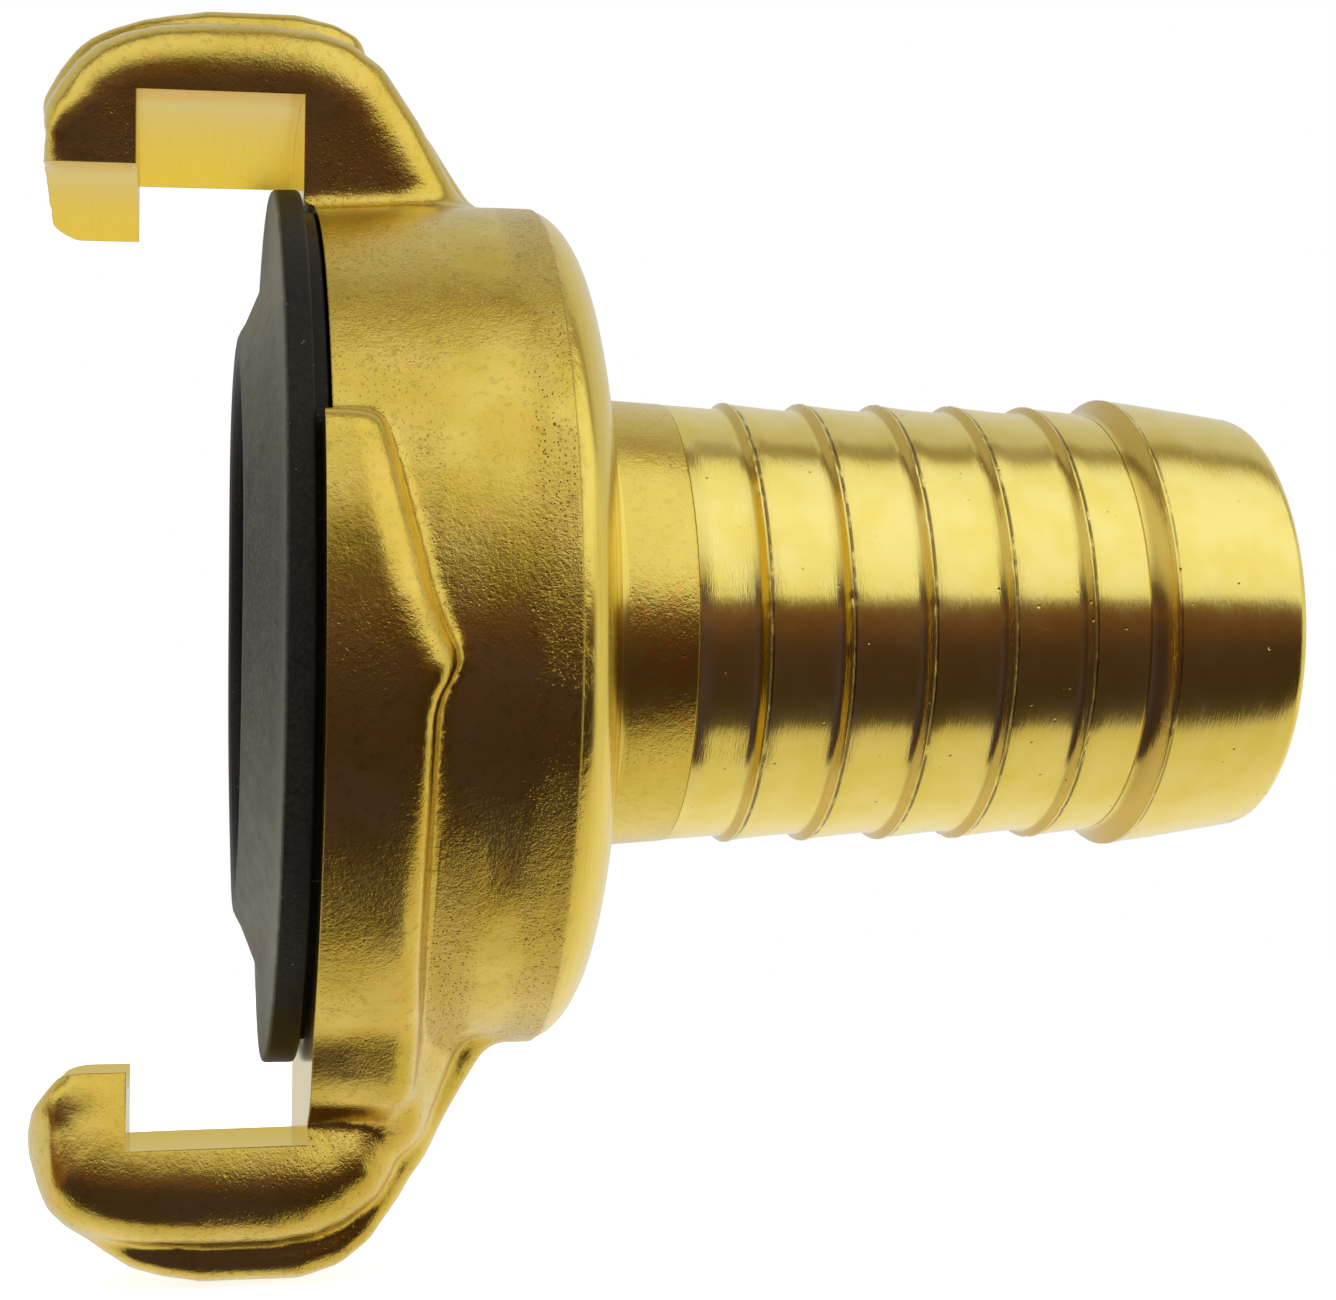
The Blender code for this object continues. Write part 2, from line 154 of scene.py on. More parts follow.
def to_object(name, verts, faces, smooth_deg=32):
    """Turn vertices in mm, x from the front face, into an object in the frame."""
    moved = np.asarray(verts, float).copy()
    moved[:, 0] -= OX
    mesh = bpy.data.meshes.new(name)
    mesh.from_pydata((moved * MM).tolist(), [], [list(map(int, f)) for f in faces])
    mesh.validate()
    mesh.update()
    obj = bpy.data.objects.new(name, mesh)
    bpy.context.scene.collection.objects.link(obj)
    shade(obj, smooth_deg)
    return obj


def turned_grid(outline, segments, first=0.0):
    """x, radius and angle of the outline's points at every step round the axis."""
    points = np.array(outline, float)
    steps = (np.arange(segments) + first) * 2 * math.pi / segments
    angle, x = np.meshgrid(steps, points[:, 0], indexing="ij")
    radius = np.meshgrid(steps, points[:, 1], indexing="ij")[1]
    return x, radius, angle


def turned_points(x, radius, angle):
    return np.stack([x, -radius * np.cos(angle), radius * np.sin(angle)], -1).reshape(-1, 3)


def ring_faces(count, segments, flip):
    """Quads of a closed outline of count points, turned in segments steps."""
    i, j = np.meshgrid(np.arange(segments), np.arange(count), indexing="ij")
    i, j = i.ravel(), j.ravel()
    next_i, next_j = (i + 1) % segments, (j + 1) % count
    faces = np.stack([i * count + j, i * count + next_j,
                      next_i * count + next_j, next_i * count + j], -1)
    return faces[:, ::-1] if flip else faces


def lathe(name, outline, segments, wobble=None, smooth_deg=32):
    """Turn a closed outline round the axis; wobble(x, radius, angle) gives their shifts."""
    x, radius, angle = turned_grid(outline, segments)
    if wobble is not None:
        x_shift, radius_shift = wobble(x, radius, angle)
        x, radius = x + x_shift, radius + radius_shift
    # a counter-clockwise outline needs its faces flipped to look outward
    faces = ring_faces(len(outline), segments, flip=signed_area(outline) > 0)
    return to_object(name, turned_points(x, radius, angle), faces, smooth_deg)


def lathe_solid(name, outline, segments):
    """Turn an outline that starts and ends on the axis to a solid with two pole points."""
    count = len(outline) - 2
    verts = turned_points(*turned_grid(outline[1:-1], segments, first=0.5))
    verts = np.vstack([verts, [[outline[0][0], 0, 0], [outline[-1][0], 0, 0]]])
    first_pole, last_pole = len(verts) - 2, len(verts) - 1
    faces = []
    for i in range(segments):
        here, there = i * count, (i + 1) % segments * count
        for j in range(count - 1):
            faces.append([here + j, here + j + 1, there + j + 1, there + j])
        faces.append([here, there, first_pole])
        faces.append([there + count - 1, here + count - 1, last_pole])
    if signed_area(outline) > 0:
        faces = [face[::-1] for face in faces]
    return to_object(name, verts, faces)


def cut(obj, cutter):
    """Take the cutter off the object, and delete the cutter."""
    modifier = obj.modifiers.new("cut", "BOOLEAN")
    modifier.operation = "DIFFERENCE"
    modifier.object = cutter
    modifier.solver = "MANIFOLD"
    bpy.context.view_layer.update()
    depsgraph = bpy.context.evaluated_depsgraph_get()
    mesh = bpy.data.meshes.new_from_object(obj.evaluated_get(depsgraph))
    obj.modifiers.clear()
    old = obj.data
    obj.data = mesh
    bpy.data.meshes.remove(old)
    bpy.data.objects.remove(cutter, do_unlink=True)


def tidy(obj):
    """Weld the near-double points a boolean leaves and drop the zero-area slivers."""
    bm = bmesh.new()
    bm.from_mesh(obj.data)
    bmesh.ops.triangulate(bm, faces=bm.faces)
    bmesh.ops.remove_doubles(bm, verts=bm.verts, dist=4e-7)
    bm.verts.index_update()
    same_corners = {}
    for face in bm.faces:
        key = tuple(sorted(v.index for v in face.verts))
        same_corners.setdefault(key, []).append(face)
    twins = [face for group in same_corners.values() if len(group) > 1 for face in group]
    if twins:
        bmesh.ops.delete(bm, geom=twins, context="FACES_ONLY")
    loose = [edge for edge in bm.edges if not edge.link_faces]
    if loose:
        bmesh.ops.delete(bm, geom=loose, context="EDGES")
    lone = [vert for vert in bm.verts if not vert.link_faces]
    if lone:
        bmesh.ops.delete(bm, geom=lone, context="VERTS")
    bm.to_mesh(obj.data)
    bm.free()
    obj.data.update()


def face_outward(obj):
    """Flip the faces if the volume they enclose comes out negative."""
    mesh = obj.data
    mesh.calc_loop_triangles()
    places = np.zeros(len(mesh.vertices) * 3)
    mesh.vertices.foreach_get("co", places)
    corners = np.zeros(len(mesh.loop_triangles) * 3, np.int32)
    mesh.loop_triangles.foreach_get("vertices", corners)
    a, b, c = places.reshape(-1, 3)[corners.reshape(-1, 3)].transpose(1, 0, 2)
    if float((a * np.cross(b, c)).sum()) < 0:
        mesh.flip_normals()


# ---------------------------------------------------------------- head: shapes
DRUM = round_corners(
    [(-0.8, 0.0), (-0.8, 18.05), (0.0, DRUM_FRONT_R), (4.2, DRUM_R), (10.0, DRUM_R + 0.03),
     (12.6, DRUM_R), (12.6, 12.6), (13.6, 10.6), (16.6, 10.4), (16.6, 0.0)],
    [0, 0, 0, 0, 0, 0.3, 0.2, 1.0, 0, 0])
# the claw along its middle rib: (x, radius)
RIB = round_corners(
    [(-10.2, 18.4), (-10.3, 19.9), (-11.4, 21.05), (-11.5, 21.8), (-11.4, 22.6), (-11.0, 23.5),
     (-10.5, 24.4), (-9.9, 25.2), (-9.42, 25.75), (-8.6, 26.45), (-7.44, 27.2), (-6.25, 27.55),
     (-4.65, 27.84), (-0.6, 27.84), (1.05, 27.37), (2.28, 26.5), (3.55, 24.8), (5.23, 22.0),
     (6.95, 19.4), (8.2, 17.6), (8.2, 16.4), (-10.2, 16.4)],
    [0.3, 0.12, 0.4, 0.5] + [1.6] * 15 + [0.2] * 3)
# the same on the shoulders, either side of the rib
SHOULDER = round_corners(
    [(-10.2, 18.4), (-10.3, 19.85), (-11.45, 21.0), (-11.6, 21.6), (-11.58, 22.5),
     (-11.25, 23.5), (-10.75, 24.5), (-9.95, 25.25), (-8.8, 25.75), (-6.9, 26.15), (-4.8, 26.3),
     (-1.7, 26.3), (0.0, 26.1), (1.2, 25.6), (2.55, 24.65), (4.2, 22.3), (5.8, 19.5),
     (6.9, 17.6), (6.9, 16.4), (-10.2, 16.4)],
    [0.3, 0.12, 0.4] + [1.6] * 14 + [0.2] * 3)
# cam ramp: (degrees from its claw, x of the back edge, width of its rounding)
RAMP = [(107.0, 1.7, 1.0), (103.5, 2.05, 1.1), (99.5, 2.4, 1.15), (93.5, 2.85, 1.2),
        (86.6, 3.4, 1.25), (81.9, 3.95, 1.25), (79.2, 4.36, 1.2), (77.5, 4.47, 1.0),
        (75.9, 4.26, 0.8), (74.1, 3.92, 0.7), (72.0, 3.74, 0.65), (66.0, 3.66, 0.6),
        (57.0, 3.62, 0.6), (48.0, 3.63, 0.6), (39.0, 3.7, 0.65), (30.0, 3.9, 0.7),
        (21.0, 4.1, 0.8), (9.0, 4.2, 0.9)]
RAMP_TABLE = np.array(RAMP)[::-1]


def smooth_min(a, b, blend):
    h = np.clip(0.5 + 0.5 * (b - a) / blend, 0.0, 1.0)
    return b + (a - b) * h - blend * h * (1.0 - h)


def smooth_max(a, b, blend):
    return -smooth_min(-a, -b, blend)


def ease(value, start, end):
    """0 at start, 1 at end, smooth between."""
    t = np.clip((value - start) / (end - start), 0.0, 1.0)
    return t * t * (3.0 - 2.0 * t)


def past_plane(r, degrees):
    """Distance beyond a plane through the axis, from the angle past it."""
    return r * np.sin(np.radians(np.clip(degrees, -90, 90)))


def polygon_distance(points, xs, rs):
    """Signed distance to a closed outline on a regular (x, r) grid; inside is negative."""
    x, r = np.meshgrid(xs, rs, indexing="ij")
    nearest = np.full(x.shape, 1e9)
    inside = np.zeros(x.shape, bool)
    for i, (ax, ar) in enumerate(points):
        bx, br = points[(i + 1) % len(points)]
        side_x, side_r = bx - ax, br - ar
        squared = side_x * side_x + side_r * side_r
        if squared < 1e-12:
            continue
        t = np.clip(((x - ax) * side_x + (r - ar) * side_r) / squared, 0, 1)
        nearest = np.minimum(nearest, (x - ax - t * side_x) ** 2 + (r - ar - t * side_r) ** 2)
        if ar != br:
            crosses = (ar > r) != (br > r)
            inside ^= crosses & (x < (bx - ax) * (r - ar) / (br - ar) + ax)
    distance = np.sqrt(nearest)
    return np.where(inside, -distance, distance)


class OutlineDistance:
    """Signed distance to an outline, looked up in a fine table."""
    step = 0.08
    margin = 4.0

    def __init__(self, points):
        low = np.array(points).min(0) - self.margin
        high = np.array(points).max(0) + self.margin
        self.low_x, self.low_r = low
        self.table = polygon_distance(points, np.arange(low[0], high[0], self.step),
                                      np.arange(low[1], high[1], self.step)).astype(np.float32)

    def __call__(self, x, r):
        table = self.table
        u = np.clip((x - self.low_x) / self.step, 0, table.shape[0] - 1.001)
        v = np.clip((r - self.low_r) / self.step, 0, table.shape[1] - 1.001)
        i, j = u.astype(np.int32), v.astype(np.int32)
        u, v = u - i, v - j
        return ((table[i, j] * (1 - u) + table[i + 1, j] * u) * (1 - v)
                + (table[i, j + 1] * (1 - u) + table[i + 1, j + 1] * u) * v)


def spline_matrix(samples, length, wave):
    """Cubic B-spline weights from a coarse lattice to the samples along one side."""
    cells = max(2, int(round(length / wave)))
    u = np.linspace(0, cells, samples, endpoint=False)
    i = u.astype(int)
    f = u - i
    weights = np.stack([(1 - f) ** 3, 3 * f ** 3 - 6 * f ** 2 + 4,
                        -3 * f ** 3 + 3 * f ** 2 + 3 * f + 1, f ** 3], -1) / 6
    matrix = np.zeros((samples, cells + 4))
    for k in range(4):
        matrix[np.arange(samples), i + k] += weights[:, k]
    return matrix.astype(np.float32)


def lattice_noise(shape, size, wave, seed):
    """Smooth noise about -1..1 on a box of samples, wave in mm."""
    generator = np.random.default_rng(seed)
    along_x, along_y, along_z = [spline_matrix(n, s, wave) for n, s in zip(shape, size)]
    lattice = generator.standard_normal(
        [m.shape[1] for m in (along_x, along_y, along_z)]).astype(np.float32)
    noise = np.tensordot(along_x, lattice, (1, 0))
    noise = np.tensordot(noise, along_y, (1, 1))     # axes now x, lattice z, y
    noise = np.tensordot(noise, along_z, (1, 1))     # axes now x, y, z
    return noise * 1.7


def claw_distance(x, r, away, upper, rib, shoulder):
    """A narrow rib on a wider body with round shoulders; away is degrees from its middle."""
    # the nose is bevelled, more on the leading side (away > 0)
    lead_bevel = np.clip((-10.5 - x) / 1.1, 0, 1.2) * 2.2
    trail_bevel = np.clip((-11.1 - x) / 0.5, 0, 1.2) * 0.8
    half = CLAW_DEG - np.where(away > 0, lead_bevel, trail_bevel)
    side = past_plane(r, np.abs(away) - half)
    tip = 1.0 - ease(x, -9.6, -7.6)
    body_x = rib_x = np.full_like(r, x)
    body_r = rib_r = r
    if upper:
        # the upper claw: no tip chamfer, lower rib, shoulder dressed back
        blunt = 1.15 * np.clip((21.1 - r) / 1.1, 0, 1.6) * (1 - ease(x, -8.0, -6.0))
        body_x = (body_x + blunt - 0.55 * ease(r, 22.2, 25.0) * ease(x, -6.0, -9.0)
                  - 0.5 * ease(x, -1.0, 2.0))
        rib_x = rib_x + blunt + 0.55 * ease(r, 21.6, 23.2) * (1 - ease(r, 25.2, 27.0))
        rib_r = r + 0.58 * ease(r, 25.8, 27.2)
        edge_blend = 2.5 - tip * 1.6 * (1 - ease(r, 21.2, 23.4))
    else:
        edge_blend = 3.5 - tip * 2.2 * (1 - ease(r, 20.4, 22.2))
        body_r = r - 0.3 * ease(r, 22.8, 24.6)
    body = smooth_max(shoulder(body_x, body_r), side, edge_blend)
    rib_side = past_plane(r, np.abs(away) - 10.0)    # the rib is 10 degrees to either side
    top = smooth_max(rib(rib_x, rib_r), rib_side, blend=1.3)
    return smooth_min(body, top, blend=0.3)


def ramp_distance(x, r, away):
    """The cam ramp beside a claw, between 0 and RAMP_START degrees from it."""
    back_x = np.interp(away, RAMP_TABLE[:, 0], RAMP_TABLE[:, 1])
    rounding = np.interp(away, RAMP_TABLE[:, 0], RAMP_TABLE[:, 2])
    outer_r = RAMP_R + 1.35 * ease(away, 34.0, 21.0)    # swells into the claw's flank
    # rounded, slightly sloping back edge
    ramp = smooth_max(r - outer_r, x - back_x + 0.18 * (r - DRUM_R - 1.2), 1.25 * rounding)
    # sloping end face
    start = past_plane(r, away - RAMP_START)
    start = 0.86 * start + 0.42 * (r - 19.6)
    ramp = smooth_max(ramp, start, blend=0.7)
    # keep it behind the drum's front, outside radius 14 and on its own side of the claw
    ramp = np.maximum(ramp, -(x + 0.8))
    ramp = np.maximum(ramp, 14.0 - r)
    return np.where((away > 0) & (away < 150), ramp, 5.0)


def sample_field(field, points):
    """The field between its samples (trilinear), at points in grid steps."""
    place = np.clip(points, 0, np.array(field.shape) - 1.001)
    cell = place.astype(int)
    part = place - cell
    total = 0
    for corner in itertools.product((0, 1), repeat=3):
        weight = np.where(corner, part, 1 - part)
        total = total + (weight[:, 0] * weight[:, 1] * weight[:, 2]
                         * field[tuple((cell + corner).T)])
    return total


def pull_to_surface(field, points, spacing):
    """Move points, in grid steps, onto the field's zero surface."""
    reach = 0.6
    for _ in range(2):
        slope = np.stack([sample_field(field, points + e) - sample_field(field, points - e)
                          for e in np.eye(3) * reach], -1) / (2 * reach * spacing)
        steepness = np.maximum((slope ** 2).sum(1), 0.3)[:, None]
        step = sample_field(field, points)[:, None] * slope / steepness
        points = points - np.clip(step / spacing, -0.4, 0.4)
    return points


def forging():
    """The blank as it leaves the dies, with the machining allowance still on."""
    spacing = 0.22
    low = np.array([-13.2, -21.9, -29.2])
    high = np.array([16.9, 21.9, 29.2])
    size = high - low
    shape = np.ceil(size / spacing).astype(int) + 1
    xs, ys, zs = [(low[i] + spacing * np.arange(shape[i])).astype(np.float32)
                  for i in range(3)]
    y, z = np.meshgrid(ys, zs, indexing="ij")
    r = np.hypot(y, z)
    angle = np.degrees(np.arctan2(z, -y))
    drum, rib, shoulder = [OutlineDistance(points) for points in (DRUM, RIB, SHOULDER)]
    field = np.empty(shape, np.float32)
    for k, x in enumerate(xs):
        distance = drum(np.full_like(r, x), r)
        for claw_deg in (90.0, -90.0):
            away = (angle - claw_deg + 180.0) % 360.0 - 180.0
            claw = claw_distance(x, r, away, claw_deg > 0, rib, shoulder)
            distance = smooth_min(distance, claw, blend=0.8)
            # sharp where the ramp meets the claw's flank, blended behind it
            blend = 0.32 + ease(away, 36.0, 19.0) * 1.9 * ease(x, 2.0, 4.4)
            distance = smooth_min(distance, ramp_distance(x, r, away), blend)
        field[k] = distance
    # uneven skin: long waves and short ones
    field += (0.026 * lattice_noise(shape, size, wave=3.6, seed=11)
              + 0.011 * lattice_noise(shape, size, wave=1.3, seed=12))
    grid = openvdb.FloatGrid(background=3.0)
    grid.copyFromArray(np.clip(field, -3, 3))
    points, quads = grid.convertToQuads(isovalue=0.0)
    points = pull_to_surface(field, np.asarray(points, float), spacing)
    blank = to_object("coupling_head", low + points * spacing, np.asarray(quads)[:, ::-1], 40)
    face_outward(blank)
    return blank


def front_cut():
    """What is turned off from the front: hook tips, slot, front face and stepped bore."""
    return [(-14.5, 0.0), (-14.5, HOOK_TIP_R), (HOOK_BACK_X, HOOK_TIP_R), (HOOK_BACK_X, SLOT_R),
            (ROOT_X, SLOT_R), (ROOT_X, STEP_R + 0.14), (0.0, STEP_R),
            (0.0, 15.1), (0.25, 14.85), (2.3, 14.85), (2.3, 16.1), (4.9, 16.1), (4.9, 11.8),
            (8.2, 11.8), (8.2, 9.0), (8.45, 8.75), (NECK_FACE - 0.15, 8.75),
            (NECK_FACE, 8.9), (NECK_FACE + 2.5, 8.9), (NECK_FACE + 2.5, 0.0)]


def back_cut():
    """What is turned off behind the drum, round the neck and off the neck's end."""
    # rounded rear edge: leaves the drum almost along it, ends nearly square to the axis
    edge_x, edge_r, first_deg, sweep_deg, steps = 2.46, 3.98, 8, 84, 18
    first = math.radians(first_deg)
    outline = [(BACK_EDGE_X, BACK_EDGE_R)]
    for i in range(1, steps + 1):
        t = math.radians(first_deg + sweep_deg * i / steps)
        outline.append((BACK_EDGE_X + edge_x * (math.sin(t) - math.sin(first)),
                        BACK_EDGE_R - edge_r * (math.cos(first) - math.cos(t))))
    back_x = outline[-1][0]
    outline.append((back_x + 0.08, 12.2))
    # fillet from the back face to the neck
    for i in range(9):
        t = math.radians(90.0 * i / 8)
        outline.append((back_x + 0.12 + 1.25 * (1 - math.cos(t)),
                        10.07 + 1.45 * (1 - math.sin(t))))
    return outline + [
        (NECK_FACE - 0.06, 9.90), (NECK_FACE - 0.015, 9.885), (NECK_FACE, 9.86),
        (NECK_FACE, 8.3), (NECK_END + 2.0, 8.3), (NECK_END + 2.0, 26.0), (BACK_EDGE_X, 26.0)]


def make_head():
    head = forging()
    cut(head, lathe_solid("cut_front", front_cut(), LARGE_SEGMENTS))
    cut(head, lathe("cut_back", back_cut(), LARGE_SEGMENTS))
    tidy(head)
    shade(head, 28)
    return head


# ---------------------------------------------------------------- tail
# one rib, steep toward the head and long toward the hose end:
# (x from the crest, height over the valley before it), then (x, height over RIB_R)
RIB_RISE = [(-0.62, 0.0), (-0.46, 0.012), (-0.34, 0.05), (-0.24, 0.13)]
RIB_CREST = [(-0.10, -0.03), (-0.055, 0.004), (0.02, 0.012), (0.06, -0.01), (0.10, -0.06),
             (0.17, -0.075), (0.26, -0.062), (0.9, -0.135), (1.9, -0.24)]
# the barb: (x from its crest, radius)
BARB = [(-1.3, 9.635), (-1.02, 9.65), (-0.8, 9.70), (-0.58, 9.82), (-0.36, 10.0),
        (-0.15, 10.23), (-0.06, 10.345), (-0.01, 10.385), (0.06, 10.385), (0.14, 10.36),
        (0.3, 10.335), (2.0, 10.12), (4.2, 9.81)]


def edge_nicks(width_deg, count, seed, depth):
    """Depth, against the angle, of nicks scattered along a crest."""
    generator = np.random.default_rng(seed)
    places = generator.uniform(0, 2 * math.pi, count)
    widths = np.radians(generator.uniform(0.35, 1.0, count) * width_deg)
    depths = depth * generator.uniform(0.3, 1.0, count)

    def nick_depth(angle):
        deepest = np.zeros_like(angle)
        for place, width, deep in zip(places, widths, depths):
            t = (angle - place + math.pi) % (2 * math.pi) - math.pi
            deepest = np.maximum(deepest, deep * np.exp(-(t / width) ** 2))
        return deepest
    return nick_depth


def tail_outline(crests):
    # spigot with the clip's groove and the O-ring's, up to the shoulder
    outline = [
        (5.6, SPIGOT_R - 0.25), (5.85, SPIGOT_R), (6.2, SPIGOT_R), (6.2, GROOVE_R),
        (7.1, GROOVE_R), (7.1, SPIGOT_R), (11.2, SPIGOT_R), (11.2, 7.75), (12.5, 7.75),
        (12.5, SPIGOT_R), (SHOULDER_X, SPIGOT_R), (SHOULDER_X, COLLAR_R - 0.05),
        (SHOULDER_X + 0.015, COLLAR_R - 0.015), (SHOULDER_X + 0.06, COLLAR_R)]
    for i, crest in enumerate(crests):
        valley = VALLEY_R if i else 9.72
        outline += [(crest + x, valley + height) for x, height in RIB_RISE]
        outline += [(crest + x, RIB_R + height) for x, height in RIB_CREST]
        outline.append((crest + 2.7, VALLEY_R + 0.012))
    outline += [(BARB_X + x, r) for x, r in BARB]
    # rounded hose end, then the bore back to the head's side
    outline += [
        (TAIL_END - 0.42, 9.56), (TAIL_END - 0.2, 9.47), (TAIL_END - 0.06, 9.33),
        (TAIL_END, 9.15), (TAIL_END, TAIL_BORE_R + 0.45), (TAIL_END - 0.06, TAIL_BORE_R + 0.34),
        (TAIL_END - 0.4, TAIL_BORE_R), (18.0, TAIL_BORE_R), (15.5, 6.75), (5.85, 6.75),
        (5.6, 7.0)]
    return densify(outline, 1.1)


def make_tail():
    crests = [FIRST_RIB_X + i * RIB_PITCH for i in range(RIB_COUNT)]
    nicks = [edge_nicks(width_deg=1.2, count=22, seed=20 + i, depth=0.07)
             for i in range(RIB_COUNT)]
    nicks.append(edge_nicks(width_deg=0.9, count=16, seed=31, depth=0.035))

    def wobble(x, radius, angle):
        x_shift = np.zeros_like(x)
        radius_shift = np.zeros_like(x)
        outside = radius > 9.2
        for crest, nick_depth in zip(crests + [BARB_X], nicks):
            nick = np.exp(-((x - crest) / 0.14) ** 2) * outside * nick_depth(angle)
            radius_shift -= nick
            x_shift += 0.25 * nick * np.sin(angle * 7 + crest)
        # the tool's chatter along the tapers
        radius_shift += (outside * (x > SHOULDER_X + 0.2) * 0.006
                         * np.sin(3 * angle + x * 2.1))
        return x_shift, radius_shift
    return lathe("coupling_tail", tail_outline(crests), LARGE_SEGMENTS, wobble, 24)


# ---------------------------------------------------------------- seal, O-ring, washer, clip
def make_seal():
    face, lip, bore = -1.88, -3.25, 11.6             # x, x, radius
    outline = [
        (-0.10, 14.75), (-0.10, 18.05), (-0.16, 18.12), (-0.70, 18.15), (-0.70, 18.95),
        (-0.78, 19.05), (-0.9, 19.07), (-1.1, 19.07), (-1.28, 19.06), (face + 0.4, 19.06),
        (face + 0.16, 19.05), (face + 0.05, 18.98), (face, 18.86), (face - 0.01, 18.0),
        (face + 0.01, 17.0), (face - 0.02, 16.1), (face - 0.08, 15.5), (face - 0.25, 15.0),
        (face - 0.62, 14.1), (face - 0.98, 13.25), (lip + 0.16, 12.85), (lip + 0.05, 12.6),
        (lip, 12.3), (lip + 0.03, 12.05), (lip + 0.12, 11.82), (lip + 0.28, 11.68),
        (lip + 0.5, bore), (0.0, bore + 0.02), (4.1, bore), (4.3, bore + 0.03),
        (4.5, bore + 0.15), (4.68, bore + 0.4), (4.7, bore + 0.6), (4.7, 15.2), (4.55, 15.45),
        (4.3, 15.85), (2.6, 15.85), (2.45, 15.7), (2.35, 14.75)]

    def wobble(x, radius, angle):
        # moulded rubber is never quite true, and sits a little proud at the bottom
        radius_shift = np.where(
            x < -0.6, 0.018 * np.sin(3 * angle + 1.1) + 0.012 * np.sin(7 * angle + 0.4)
            + 0.008 * np.sin(19 * angle + x * 3), 0.0)
        proud = np.where(x < -0.9, -0.16 * np.clip(-np.sin(angle), 0, 1) ** 2
                         * np.clip((radius - 12.0) / 5.0, 0, 1), 0.0)
        waves = np.where(x < -0.9, 0.025 * np.sin(2 * angle + 0.7)
                         + 0.012 * np.sin(5 * angle), 0.0)
        return waves + proud, radius_shift
    outline = densify(round_corners(outline, 0.05, steps=2), 0.9)
    return lathe("coupling_seal", outline, LARGE_SEGMENTS, wobble, 30)


def make_o_ring():
    centre_x, centre_r, half_x, half_r, steps = 11.85, 8.25, 0.45, 0.447, 28
    outline = [(centre_x + half_x * math.sin(2 * math.pi * i / steps),
                centre_r + half_r * math.cos(2 * math.pi * i / steps)) for i in range(steps)]
    return lathe("coupling_o_ring", outline, SMALL_SEGMENTS, smooth_deg=60)


def make_washer():
    front, back, inner, outer = 7.15, 8.1, 8.85, 11.6
    corners = [(front, inner), (front, outer), (back, outer), (back, inner)]
    outline = densify(round_corners(corners, 0.1, steps=3), 0.5)
    return lathe("coupling_washer", outline, SMALL_SEGMENTS, smooth_deg=40)


def make_clip():
    """Stamped C-shaped ring, open at the top, with chamfered edges and an eye in each ear."""
    front, back, inner, outer = 6.26, 7.04, 8.12, 10.1
    chamfer = 0.07
    half_gap = 14.0                                  # degrees from the top
    ear_deg, ear_rise = 22.0, 0.9
    corner_deg, corner_drop = 3.0, 0.55              # round outer corner of each ear
    steps, corners = 180, 8
    verts, faces = [], []
    for i in range(steps + 1):
        degrees = half_gap + (360.0 - 2 * half_gap) * i / steps
        from_end = min(degrees - half_gap, 360.0 - half_gap - degrees)
        rim = outer
        if from_end < ear_deg:
            rim = outer + ear_rise * (0.5 + 0.5 * math.cos(math.pi * from_end / ear_deg))
        if from_end < corner_deg:
            past = 1 - from_end / corner_deg
            rim -= corner_drop * (1 - math.sqrt(max(0.0, 1 - past ** 2)))
        section = [(front + chamfer, inner), (front, inner + chamfer), (front, rim - chamfer),
                   (front + chamfer, rim), (back - chamfer, rim), (back, rim - chamfer),
                   (back, inner + chamfer), (back - chamfer, inner)]
        angle = math.radians(90.0 + degrees)
        verts += [(x, -r * math.cos(angle), r * math.sin(angle)) for x, r in section]
    for i in range(steps):
        here, there = i * corners, (i + 1) * corners
        for j in range(corners):
            k = (j + 1) % corners
            faces.append([here + j, here + k, there + k, there + j])
    faces.append(list(range(corners))[::-1])
    faces.append([steps * corners + j for j in range(corners)])
    clip = to_object("coupling_clip", verts, faces)
    face_outward(clip)

    eye_deg, eye_hole = 20.5, 0.55
    eye_r = 0.5 * (inner + outer + ear_rise) + 0.1
    for side in (-1, 1):
        angle = math.radians(90.0 + side * eye_deg)
        eye = lathe_solid("cut_eye", [(front - 1, 0.0), (front - 1, eye_hole),
                                      (back + 1, eye_hole), (back + 1, 0.0)], 32)
        place = Vector((0, -eye_r * math.cos(angle) * MM, eye_r * math.sin(angle) * MM))
        eye.data.transform(Matrix.Translation(place))
        cut(clip, eye)
    shade(clip, 30)
    return clip


# ---------------------------------------------------------------- shader helpers
class Value:
    """A node's output that takes arithmetic: each operator adds one math node."""

    def __init__(self, tree, socket):
        self.tree = tree
        self.socket = socket

    def __add__(self, other):
        return math_node("ADD", self, other)

    def __radd__(self, other):
        return math_node("ADD", other, self)

    def __sub__(self, other):
        return math_node("SUBTRACT", self, other)

    def __mul__(self, other):
        return math_node("MULTIPLY", self, other)

    def __truediv__(self, other):
        return math_node("DIVIDE", self, other)

    def __lt__(self, other):
        return math_node("LESS_THAN", self, other)

    def __gt__(self, other):
        return math_node("GREATER_THAN", self, other)

    def __abs__(self):
        return math_node("ABSOLUTE", self)


def add_node(tree, kind, inputs=None, **settings):
    """Add a node; inputs are Values, numbers, or colours as three numbers."""
    node = tree.nodes.new(kind)
    for name, value in settings.items():
        setattr(node, name, value)
    for key, value in (inputs or {}).items():
        if isinstance(value, Value):
            tree.links.new(value.socket, node.inputs[key])
        else:
            is_color = isinstance(value, tuple)
            node.inputs[key].default_value = (*value, 1.0) if is_color else value
    return node


def add_value(tree, kind, inputs=None, output=0, **settings):
    return Value(tree, add_node(tree, kind, inputs, **settings).outputs[output])


def math_node(operation, *values, clamp=False):
    tree = next(value.tree for value in values if isinstance(value, Value))
    return add_value(tree, "ShaderNodeMath", dict(enumerate(values)),
                     operation=operation, use_clamp=clamp)


def larger(a, b):
    return math_node("MAXIMUM", a, b)


